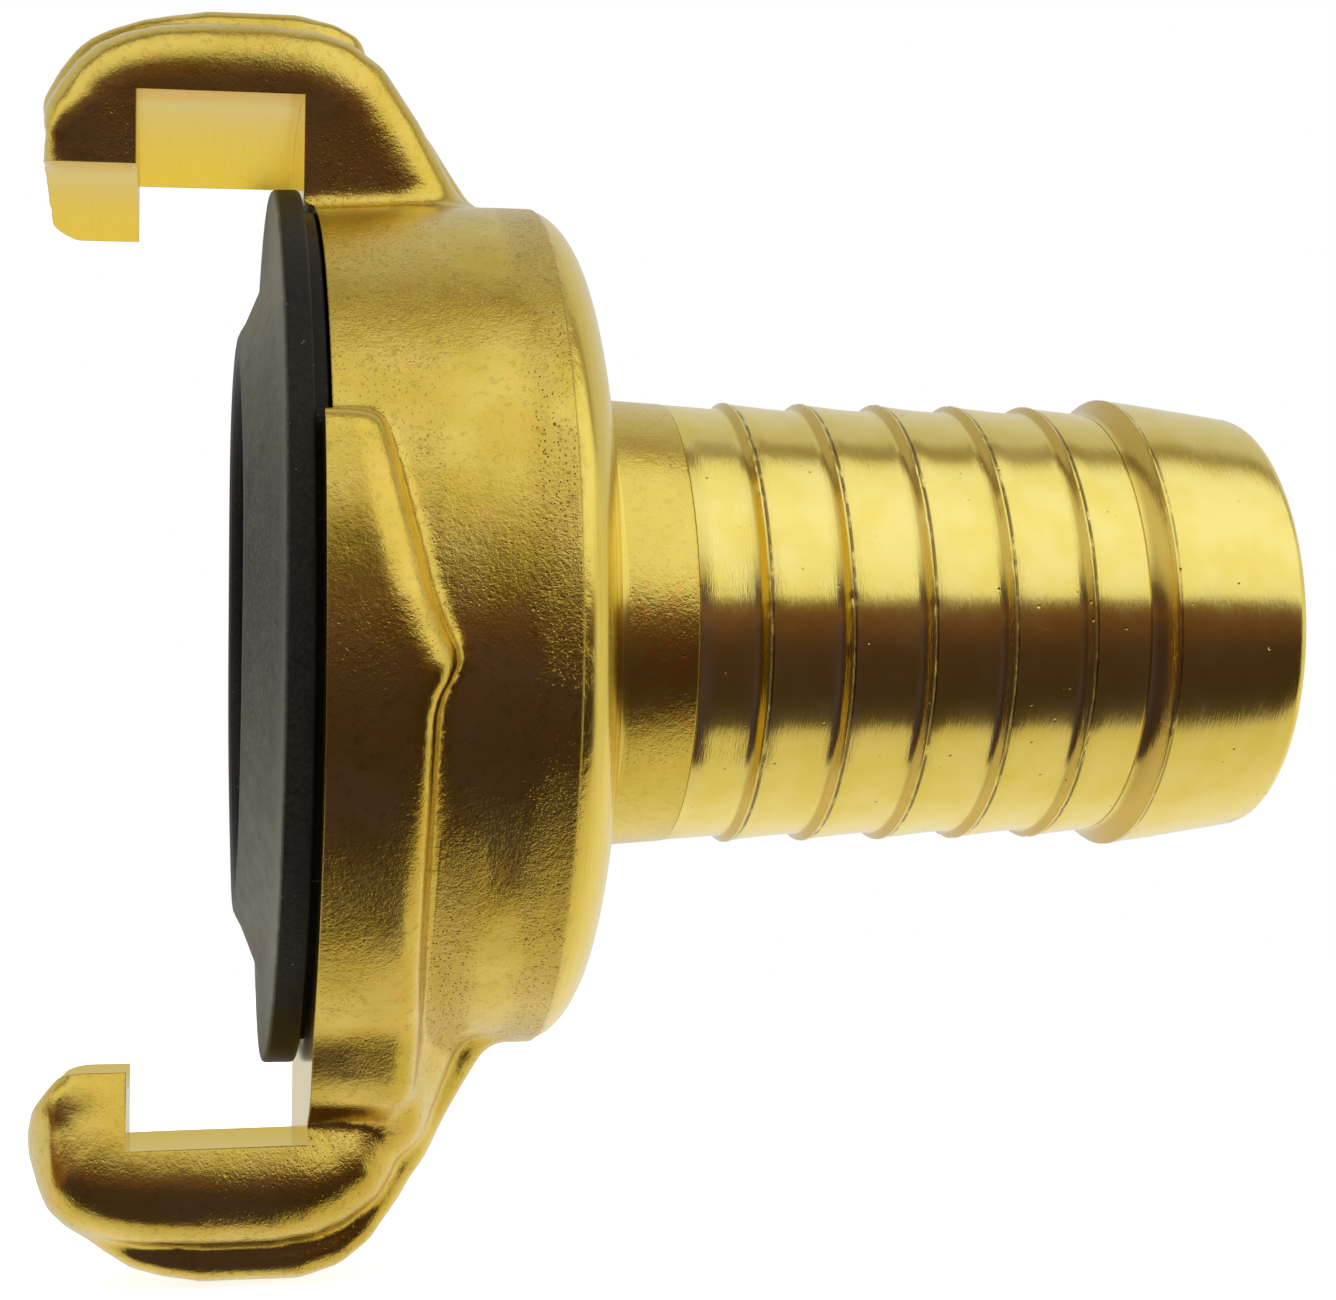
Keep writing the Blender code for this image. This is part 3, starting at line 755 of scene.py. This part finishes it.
def ramp(value, start, end, low=0.0, high=1.0):
    """low where value is at start, high where it is at end, smooth between."""
    return add_value(value.tree, "ShaderNodeMapRange",
                     {"Value": value, "From Min": start, "From Max": end,
                      "To Min": low, "To Max": high},
                     output="Result", interpolation_type="SMOOTHSTEP")


def mix(amount, a, b):
    """Mix two colours: a where amount is 0, b where it is 1."""
    return add_value(amount.tree, "ShaderNodeMix", {0: amount, 6: a, 7: b}, output=2,
                     data_type="RGBA")


def mix_values(amount, a, b):
    return add_value(amount.tree, "ShaderNodeMix", {0: amount, 2: a, 3: b},
                     data_type="FLOAT")


def tinted(color, *layers):
    """Lay (amount, colour) layers over a colour, one after the other."""
    for amount, tint in layers:
        color = mix(amount, color, tint)
    return color


def noise(vector, scale, detail=2.0, rough=0.5):
    return add_value(vector.tree, "ShaderNodeTexNoise",
                     {"Vector": vector, "Scale": scale, "Detail": detail, "Roughness": rough},
                     output="Fac")


def cells(vector, scale):
    """Distance to the nearest of a set of scattered points."""
    return add_value(vector.tree, "ShaderNodeTexVoronoi", {"Vector": vector, "Scale": scale},
                     output="Distance")


def axes(vector):
    node = add_node(vector.tree, "ShaderNodeSeparateXYZ", {0: vector})
    return [Value(vector.tree, socket) for socket in node.outputs]


def position(tree):
    """Object coordinates in mm."""
    coordinates = add_value(tree, "ShaderNodeTexCoord", output="Object")
    return add_value(tree, "ShaderNodeVectorMath", {"Scale": 1000.0, 0: coordinates},
                     operation="SCALE")


def radius_of(y, z):
    return math_node("SQRT", y * y + z * z)


def cylinder(pos):
    """x from the head's front face, y, z, the radius, and the angle in radians."""
    x, y, z = axes(pos)
    return x + OX, y, z, radius_of(y, z), math_node("ARCTAN2", z, y * -1.0)


def lathe_space(x, r, angle, around):
    """Texture space of a lathe; a small around stretches it round the axis."""
    return add_value(x.tree, "ShaderNodeCombineXYZ", {0: x, 1: r, 2: angle * around})


def normal_of(tree, kind="Normal"):
    return add_value(tree, "ShaderNodeNewGeometry", output=kind)


def radial_part(normal, y, z, r):
    """How far the normal points away from the axis, -1 to 1."""
    _, normal_y, normal_z = axes(normal)
    return (normal_y * y + normal_z * z) / larger(r, 0.01)


def clear_tree(owner):
    owner.use_nodes = True
    owner.node_tree.nodes.clear()
    return owner.node_tree


def new_material(name, viewport_color):
    material = bpy.data.materials.new(name)
    material.diffuse_color = (*viewport_color, 1)
    return material, clear_tree(material)


def surface(tree, color, roughness, height, metallic=0.0, bevel=None, more=None):
    """Principled surface and output; height in mm, bevel is an edge radius in metres."""
    bump = {"Height": height, "Distance": MM}
    if bevel is not None:
        bump["Normal"] = add_value(tree, "ShaderNodeBevel", {"Radius": bevel}, samples=4)
    shader = add_value(tree, "ShaderNodeBsdfPrincipled",
                       {"Metallic": metallic, "Base Color": color, "Roughness": roughness,
                        "Normal": add_value(tree, "ShaderNodeBump", bump), **(more or {})})
    add_node(tree, "ShaderNodeOutputMaterial", {0: shader})


# ---------------------------------------------------------------- materials
def machined_zones(tree, pos, x, y, z, r):
    """Where the head is turned, and which part of that is the slot's arcs."""
    normal = normal_of(tree, "True Normal")
    faced = (abs(axes(normal)[0]) > 0.985) * (r < 23.4)
    edge = x + noise(pos, scale=1.3, detail=3.0, rough=0.6) * 0.7
    behind = ramp(edge, start=BACK_EDGE_X + 0.25, end=BACK_EDGE_X + 0.75) * (x < 12.7)
    bore = (r < 17.5) * (x < 11.5)
    slot = (r < SLOT_R + 0.012) * (x < -0.4)
    slot = slot * (radial_part(normal, y, z, r) < -0.93)
    return larger(larger(faced, behind), larger(bore, slot)), slot


def rough_zones(pos, x, y, z, r, neck):
    """How rough and pitted the forged skin is."""
    # a broken belt just before the drum's rear edge
    belt = ramp(x, start=6.9, end=8.3) * ramp(x, start=9.9, end=9.2)
    belt = belt * ramp(noise(pos, scale=0.30, detail=1.0), start=0.30, end=0.52)
    # the drum beside the ramps' feet
    foot = ramp(x, start=4.9, end=4.0) * ramp(r, start=19.0, end=18.6)
    patch = ramp(noise(pos, scale=0.22, detail=1.0), start=0.42, end=0.62)
    # a strip behind the ramps, in the two quarters where y and z have the same sign
    ragged_x = x + noise(pos, scale=0.7, rough=0.6) * 1.2
    strip = ((ramp(x, start=4.05, end=4.25) * ramp(ragged_x, start=7.2, end=5.9))
             * ((y * z > 0.0) * ramp(abs(z), start=9.3, end=11.5)))
    strip = strip * ramp(r, start=19.6, end=19.2)
    zones = larger(belt * 1.0, larger(patch * 0.30, foot * 0.45))
    return larger(zones, larger(neck * 0.14, strip * 1.1))


def forged_brass():
    material, tree = new_material("forged_brass", (0.78, 0.60, 0.13))
    pos = position(tree)
    x, y, z, r, angle = cylinder(pos)
    turned, slot = machined_zones(tree, pos, x, y, z, r)
    neck = ramp(x, start=11.9, end=12.6)
    rough = rough_zones(pos, x, y, z, r, neck)

    # noises from coarse to fine
    big = noise(pos, scale=0.35, rough=0.55)
    tint = noise(pos, scale=0.55, detail=1.0)
    mid = noise(pos, scale=1.6, detail=3.0, rough=0.6)
    mottle = noise(pos, scale=2.7, detail=4.0, rough=0.72)
    fine = noise(pos, scale=7.0, detail=3.0, rough=0.65)
    grain = noise(pos, scale=22.0, rough=0.6)
    feed = noise(lathe_space(x, r, angle, around=0.35), scale=9.0, detail=3.0, rough=0.7)

    # large and small pits, denser on the rough zones
    large_pits = ramp(cells(pos, scale=2.2), start=0.24, end=0.05)
    small_pits = ramp(cells(pos, scale=5.2), start=0.30, end=0.06)
    sparse = ramp(noise(pos, scale=0.8, detail=1.0), start=0.55, end=0.70)
    pits = (large_pits * (sparse * (0.10 + rough))
            + small_pits * (sparse * 0.12 + rough * 0.9))

    # relief in mm: the forged skin, and the feed marks of the turned one
    forged_height = (mid * 0.012 + fine * 0.0080 + (fine * rough) * 0.026 + grain * 0.0020
                     + mottle * (0.009 + rough * 0.024) - pits * 0.024)
    turned_height = feed * 0.0007 + fine * 0.0022
    height = mix_values(turned, forged_height, turned_height)

    # painted reflection: reddish streaks along the neck, on the side toward -Y just below level
    neck_reflection_streak = ramp(noise(lathe_space(x, r, angle, around=8.0), scale=0.9, rough=0.6),
                  start=0.42, end=0.66)
    neck_reflection_streak = neck_reflection_streak * (ramp(angle, start=-0.75, end=-0.45) * ramp(angle, start=0.15, end=-0.05))
    forged_color = tinted(
        mix(ramp(big, start=0.35, end=0.65), (0.74, 0.555, 0.090), (0.82, 0.635, 0.145)),
        # darker spots, fine and grainy, then blotches and a warm tint
        (ramp(fine, start=0.55, end=0.8) * 0.30, (0.58, 0.40, 0.08)),
        (ramp(grain, start=0.50, end=0.74) * 0.30, (0.52, 0.37, 0.07)),
        (ramp(mottle, start=0.52, end=0.66) * (0.34 + rough * 0.4), (0.42, 0.28, 0.050)),
        (ramp(tint, start=0.52, end=0.68) * 0.30, (0.88, 0.56, 0.12)),
        # the dull skin of the rough zones, the paler neck, the reddish streaks of painted
        # reflection on it and the dark pits
        (rough * 0.45, (0.60, 0.43, 0.085)),
        (neck * 0.45, (0.86, 0.71, 0.17)),
        (neck * (neck_reflection_streak * 0.60), (0.90, 0.46, 0.10)),
        (math_node("MULTIPLY", pits, 0.9, clamp=True), (0.20, 0.12, 0.03)))
    turned_color = tinted(
        mix(ramp(feed, start=0.3, end=0.7), (0.84, 0.66, 0.12), (0.90, 0.73, 0.19)),
        # dull blotches, then the slot's deeper yellow and its dark spots
        (ramp(mid, start=0.5, end=0.75) * 0.35, (0.78, 0.60, 0.20)),
        (slot * 0.75, (0.88, 0.62, 0.035)),
        (slot * (ramp(fine, start=0.60, end=0.75) * 0.5), (0.50, 0.34, 0.10)))
    roughness = mix_values(turned, 0.12 + mid * 0.07 + rough * 0.07 + pits * 0.12 + neck * 0.02,
                           0.15 + feed * 0.05)
    surface(tree, mix(turned, forged_color, turned_color), roughness, height,
            metallic=1.0, bevel=0.00012)
    return material


def crest_dark_lines(x, r, angle):
    """Broken dark lines just behind the crests of the ribs and the barb."""
    half_pitch = RIB_PITCH / 2
    from_line = math_node("MODULO", x - (FIRST_RIB_X - half_pitch + 0.11), RIB_PITCH)
    line = ramp(abs(from_line - half_pitch), start=0.13, end=0.05)
    line = line * ((x > 17.5) * (x < 34.5))
    barb_line = ramp(abs(x - (BARB_X + 0.12)), start=0.10, end=0.03)
    line = larger(line, barb_line * 0.7)
    gaps = noise(lathe_space(x, r, angle, around=5.0), scale=1.6, detail=3.0, rough=0.7)
    return line * ramp(gaps, start=0.30, end=0.52)


def turned_brass():
    material, tree = new_material("turned_brass", (0.95, 0.8, 0.3))
    pos = position(tree)
    x, y, z, r, angle = cylinder(pos)
    # tool marks round the axis
    lathe_pos = lathe_space(x, r, angle, around=0.6)
    feed = noise(lathe_pos, scale=6.0, detail=4.0, rough=0.75)
    fine = noise(lathe_pos, scale=26.0, rough=0.7)
    ragged = noise(lathe_space(x, r, angle, around=1.3), scale=13.0, rough=0.6)
    blotch = noise(pos, scale=0.5)
    wear = noise(pos, scale=9.0, detail=3.0, rough=0.7)
    nick = ramp(cells(pos, scale=1.7), start=0.16, end=0.03)
    nick = nick * ramp(noise(pos, scale=0.9, detail=1.0), start=0.55, end=0.68)
    # painted shade: the faces of the ribs that look toward the head are coloured darker orange
    steep_face_shade = ramp(axes(normal_of(tree))[0], start=-0.16, end=-0.50) * (x > 17.0)
    height = feed * 0.0050 + fine * 0.0026 + ragged * 0.0065 - nick * 0.02
    color = tinted(
        mix(ramp(blotch, start=0.3, end=0.7), (0.90, 0.745, 0.185), (0.95, 0.805, 0.27)),
        # worn spots, painted shade on the steep faces, dark lines behind the crests, nicks
        (ramp(wear, start=0.58, end=0.8) * 0.3, (0.70, 0.50, 0.12)),
        (steep_face_shade * 0.75, (0.58, 0.38, 0.07)),
        (crest_dark_lines(x, r, angle) * 0.85, (0.16, 0.09, 0.03)),
        (math_node("MULTIPLY", nick, 0.7, clamp=True), (0.35, 0.22, 0.07)))
    roughness = 0.095 + feed * 0.07 + ramp(blotch, start=0.45, end=0.75) * 0.04
    tangent = add_value(tree, "ShaderNodeTangent", direction_type="RADIAL", axis="X")
    surface(tree, color, roughness, height, metallic=1.0, bevel=0.00008,
            more={"Anisotropic": 0.2, "Tangent": tangent})
    return material


def seal_rubber():
    material, tree = new_material("seal_rubber", (0.03, 0.03, 0.03))
    pos = position(tree)
    _, y, z = axes(pos)
    coarse = noise(pos, scale=1.2, detail=4.0, rough=0.65)
    mid = noise(pos, scale=6.0, detail=4.0, rough=0.7)
    fine = noise(pos, scale=20.0, rough=0.6)
    # talc and bloom lie on the faces that look forward, paler toward top and bottom
    face = (ramp(axes(normal_of(tree))[0], start=-0.35, end=-0.85)
            * ramp(radius_of(y, z), start=12.1, end=12.8))
    dust = face * ramp(coarse, start=0.2, end=0.8, low=0.55, high=1.0)
    height_share = math_node("POWER", z / 12.0, 2.0)
    speck = (ramp(cells(pos, scale=3.3), start=0.13, end=0.04)
             * ramp(noise(pos, scale=1.7, detail=1.0), start=0.56, end=0.62))
    black = mix(ramp(mid, start=0.3, end=0.7), (0.007, 0.006, 0.005), (0.016, 0.013, 0.011))
    grey = mix(ramp(mid, start=0.35, end=0.7), (0.040, 0.040, 0.031), (0.074, 0.073, 0.056))
    grey = mix(math_node("MULTIPLY", height_share, 0.85, clamp=True), grey,
               (0.155, 0.150, 0.112))
    color = tinted(black, (dust, grey), (speck * 0.8, (0.25, 0.24, 0.20)))
    surface(tree, color, roughness=0.42 + dust * 0.35, height=mid * 0.012 + fine * 0.004,
            more={"Specular IOR Level": 0.12 + dust * 0.22})
    return material


def plain(name, color, tint, rough, relief, scale, metallic=0.0, lathe_marks=False):
    """One colour varied toward a tint, with a slight relief in mm."""
    material, tree = new_material(name, color)
    pos = position(tree)
    marks_pos = pos
    if lathe_marks:
        x, _, _, r, angle = cylinder(pos)
        marks_pos = lathe_space(x, r, angle, around=0.6)
    marks = noise(marks_pos, scale, detail=3.0, rough=0.6)
    fine = noise(pos, scale * 4, rough=0.6)
    surface(tree, mix(ramp(marks, start=0.3, end=0.75), color, tint), rough + fine * 0.12,
            marks * relief + fine * (relief * 0.3), metallic)
    return material


def o_ring_rubber():
    return plain("o_ring_rubber", color=(0.012, 0.012, 0.012), tint=(0.022, 0.021, 0.02),
                 rough=0.30, relief=0.003, scale=5.0)


def washer_polymer():
    return plain("washer_polymer", color=(0.74, 0.72, 0.65), tint=(0.80, 0.79, 0.74),
                 rough=0.38, relief=0.003, scale=4.0, lathe_marks=True)


def ring_steel():
    return plain("ring_steel", color=(0.42, 0.42, 0.43), tint=(0.56, 0.56, 0.57),
                 rough=0.24, relief=0.004, scale=6.0, metallic=1.0)


# ---------------------------------------------------------------- pieces
# object, material, the CAD piece it replaces, the body it rides on, material slot
for obj, material, node, body, slot_name in (
        (make_head(), forged_brass(), "claw_head", "head", "forged_brass"),
        (make_tail(), turned_brass(), "hose_tail", "tail", "turned_brass"),
        (make_seal(), seal_rubber(), "profile_seal", "head", "seal_rubber"),
        (make_o_ring(), o_ring_rubber(), "o_ring", "tail", "o_ring_rubber"),
        (make_washer(), washer_polymer(), "thrust_washer", "head", "washer_polymer"),
        (make_clip(), ring_steel(), "retaining_ring", "tail", "ring_steel")):
    obj.data.materials.clear()
    obj.data.materials.append(material)
    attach(obj, body)
    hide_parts(node)


# ---------------------------------------------------------------- studio (metres)
def make_floor():
    """A white sheet that glows a little, just below the part."""
    half, level = 3.0, float(cad_box[0][2]) - 0.0001
    mesh = bpy.data.meshes.new("floor")
    mesh.from_pydata([(-half, -half, level), (half, -half, level),
                      (half, half, level), (-half, half, level)], [], [(0, 1, 2, 3)])
    floor = bpy.data.objects.new("floor", mesh)
    bpy.context.scene.collection.objects.link(floor)
    paper = bpy.data.materials.new("floor_paper")
    tree = clear_tree(paper)
    diffuse = add_value(tree, "ShaderNodeBsdfDiffuse", {"Color": (0.86, 0.86, 0.86)})
    glow = add_value(tree, "ShaderNodeEmission", {"Color": (1, 1, 1), "Strength": 0.80})
    both = add_value(tree, "ShaderNodeAddShader", {0: diffuse, 1: glow})
    add_node(tree, "ShaderNodeOutputMaterial", {0: both})
    mesh.materials.append(paper)
    floor.visible_glossy = False


# surroundings: (elevation in degrees, colour); 0 is level on the camera's side,
# 90 overhead, 180 level behind. This one is seen by the head
HEAD_SKY = [
    (-180, (0.72, 0.71, 0.69)), (-128, (0.90, 0.85, 0.80)), (-104, (0.72, 0.68, 0.60)),
    (-97, (0.70, 0.65, 0.55)), (-90, (0.66, 0.60, 0.50)), (-86.5, (0.24, 0.19, 0.14)),
    (-84, (0.070, 0.048, 0.065)), (-58, (0.060, 0.042, 0.070)), (-28, (0.066, 0.040, 0.068)),
    (-12, (0.072, 0.048, 0.072)), (-5, (0.16, 0.080, 0.075)), (4, (0.12, 0.078, 0.085)),
    (10, (0.14, 0.105, 0.090)), (15, (0.46, 0.41, 0.33)), (28, (0.80, 0.77, 0.68)),
    (42, (0.90, 0.88, 0.82)), (60, (0.90, 0.89, 0.84)), (75, (0.80, 0.79, 0.75)),
    (79, (0.50, 0.45, 0.36)), (83, (0.27, 0.225, 0.17)), (91, (0.30, 0.25, 0.19)),
    (95, (0.58, 0.56, 0.52)), (115, (0.62, 0.62, 0.60)), (180, (0.70, 0.70, 0.69))]
# and this one, further round toward +X, by the tail
TAIL_SKY = [
    (-180, (0.84, 0.82, 0.78)), (-150, (0.90, 0.85, 0.78)), (-100, (0.75, 0.68, 0.48)),
    (-80, (0.71, 0.63, 0.44)), (-70, (0.62, 0.54, 0.36)), (-65, (0.085, 0.060, 0.050)),
    (-50, (0.052, 0.031, 0.028)), (-25, (0.060, 0.033, 0.031)), (-10, (0.12, 0.056, 0.036)),
    (-2, (0.14, 0.072, 0.045)), (2.5, (0.26, 0.19, 0.12)), (6, (0.90, 0.87, 0.76)),
    (20, (0.98, 0.96, 0.90)), (50, (1.03, 1.02, 0.98)), (80, (0.96, 0.95, 0.90)),
    (87, (0.80, 0.76, 0.62)), (91, (0.34, 0.28, 0.19)), (100, (0.32, 0.26, 0.18)),
    (105, (0.58, 0.54, 0.50)), (125, (0.64, 0.62, 0.62)), (180, (0.74, 0.74, 0.73))]


def elevation_colors(turn_share, stops):
    """Colours by elevation; turn_share is 0 at -180 degrees and 1 at 180."""
    node = add_node(turn_share.tree, "ShaderNodeValToRGB", {0: turn_share})
    elements = node.color_ramp.elements
    elements.remove(elements[-1])
    for i, (degrees, color) in enumerate(stops):
        place = (degrees + 180) / 360
        element = elements.new(place) if i else elements[0]
        element.position = place
        element.color = (*color, 1)
    return Value(turn_share.tree, node.outputs[0])


def make_world():
    """Reflected surroundings; the camera itself sees plain white."""
    world = bpy.data.worlds.new("studio")
    bpy.context.scene.world = world
    tree = clear_tree(world)
    x, y, z = axes(add_value(tree, "ShaderNodeTexCoord", output="Generated"))
    elevation = math_node("ARCTAN2", z, y * -1.0) * (180.0 / math.pi)
    turn_share = elevation / 360.0 + 0.5
    sky = mix(ramp(x, start=0.13, end=0.27), elevation_colors(turn_share, HEAD_SKY),
              elevation_colors(turn_share, TAIL_SKY))
    # the -X end: brown low down, pale above and straight below
    left = mix(ramp(z, start=-0.05, end=0.20), (0.20, 0.098, 0.048), (0.82, 0.78, 0.68))
    left = mix(ramp(z, start=-0.60, end=-0.80), left, (0.70, 0.62, 0.45))
    sky = tinted(sky, (ramp(x, start=-0.86, end=-0.97), left),
                 (ramp(x, start=0.88, end=0.965), (0.74, 0.70, 0.58)))
    to_camera = add_value(tree, "ShaderNodeLightPath", output="Is Camera Ray")
    color = mix(to_camera, sky, (1.0, 1.0, 1.0))
    background = add_value(tree, "ShaderNodeBackground", {0: color})
    add_node(tree, "ShaderNodeOutputWorld", {0: background})


def make_key_light():
    light = bpy.data.lights.new("key", "AREA")
    light.shape = "RECTANGLE"
    light.size = light.size_y = 0.5
    light.energy = 2.2
    key = bpy.data.objects.new("key", light)
    bpy.context.scene.collection.objects.link(key)
    key.location = (-0.25, -0.25, 0.6)
    aim = Vector((0, 0, 0)) - Vector((-0.25, -0.25, 0.6))
    key.rotation_euler = aim.to_track_quat("-Z", "Y").to_euler()
    key.visible_glossy = False


def make_camera():
    yaw, pitch, roll = 0.178155, 0.111494, -0.012016    # radians
    turn = math.radians(4.45)                           # then all of it about the X axis
    place = (-6.058930112, -112.284415212, -6.92145076)   # mm, before the turn

    def turned(vector):
        x, y, z = vector
        return Vector((x, y * math.cos(turn) - z * math.sin(turn),
                       z * math.cos(turn) + y * math.sin(turn)))

    forward = Vector((math.sin(yaw) * math.cos(pitch), math.cos(yaw) * math.cos(pitch),
                      math.sin(pitch)))
    level_right = Vector((math.cos(yaw), -math.sin(yaw), 0.0))
    level_up = level_right.cross(forward)
    right = math.cos(roll) * level_right + math.sin(roll) * level_up
    up = -math.sin(roll) * level_right + math.cos(roll) * level_up
    rotation = Matrix((turned(right), turned(up), -turned(forward))).transposed()
    location = turned(place)
    location.x -= OX

    data = bpy.data.cameras.new("camera")
    data.sensor_fit = "HORIZONTAL"
    data.sensor_width = 36.0
    data.lens = 67.6298802395
    data.shift_x = 0.0359131737
    data.shift_y = -0.1170658683
    data.clip_start = 0.005
    data.clip_end = 20.0
    camera = bpy.data.objects.new("camera", data)
    camera.matrix_world = Matrix.Translation(location * MM) @ rotation.to_4x4()
    bpy.context.scene.collection.objects.link(camera)
    bpy.context.scene.camera = camera


make_floor()
make_world()
make_key_light()
make_camera()
bpy.context.scene.view_settings.view_transform = "Standard"
bpy.context.scene.view_settings.look = "None"
